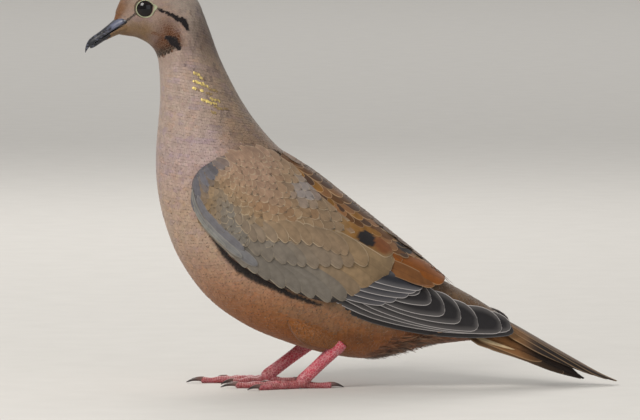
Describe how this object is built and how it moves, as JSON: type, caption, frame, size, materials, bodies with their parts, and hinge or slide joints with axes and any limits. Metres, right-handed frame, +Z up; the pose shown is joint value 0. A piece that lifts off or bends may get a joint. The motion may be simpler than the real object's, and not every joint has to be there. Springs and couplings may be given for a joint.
{
  "type": "pigeon, eared dove",
  "caption": "Still life-size model of a standing pigeon, a slim brown dove with black wing spots and a wedge tail.",
  "frame": {"origin": "centre of the model's footprint box, on the floor under the toes", "axes": "+Z up; the bird faces -X, its tail points to +X, and its left side is -Y"},
  "size_m": [0.1997, 0.0608, 0.1529],
  "materials": {
    "crown_feathers": "soft short grey-brown feathers, matt",
    "neck_feathers": "soft pinkish-fawn feathers with a small golden iridescent patch on each side",
    "body_feathers": "soft vinous to cinnamon feathers, matt",
    "covert_feathers": "olive-brown feathers going grey on the great coverts, with pale fringes",
    "tertial_feathers": "rufous-brown feathers with black spots",
    "flight_feathers": "smooth blackish feathers with pale fringes, slight sheen",
    "tail_feathers": "dark brown feathers with a slight sheen",
    "bill": "blackish horn, satin, bluer and matt at the base",
    "eye": "wet black-brown, mirror smooth",
    "eye_ring": "bare pale blue-green skin, fine wrinkles",
    "leg_skin": "dark pinkish-red scaled skin, satin",
    "claw": "dark grey-brown horn, satin"
  },
  "bodies": {
    "root": {"bill_lower": "bill", "bill_upper": "bill", "claw_left_hind": "claw", "claw_left_inner": "claw", "claw_left_middle": "claw", "claw_left_outer": "claw", "claw_right_hind": "claw", "claw_right_inner": "claw", "claw_right_middle": "claw", "claw_right_outer": "claw", "eye_left": "eye", "eye_right": "eye", "eye_ring_left": "eye_ring", "eye_ring_right": "eye_ring", "head": "crown_feathers", "neck": "neck_feathers", "shank_left": "leg_skin", "shank_right": "leg_skin", "tail_coverts": "tertial_feathers", "tail_lower": "tail_feathers", "tail_upper": "tail_feathers", "thigh_left": "body_feathers", "thigh_right": "body_feathers", "toe_left_hind": "leg_skin", "toe_left_inner": "leg_skin", "toe_left_middle": "leg_skin", "toe_left_outer": "leg_skin", "toe_right_hind": "leg_skin", "toe_right_inner": "leg_skin", "toe_right_middle": "leg_skin", "toe_right_outer": "leg_skin", "trunk": "body_feathers", "wing_left_coverts": "covert_feathers", "wing_left_primaries": "flight_feathers", "wing_left_tertials": "tertial_feathers", "wing_right_coverts": "covert_feathers", "wing_right_primaries": "flight_feathers", "wing_right_tertials": "tertial_feathers"}
  },
  "joints": []
}
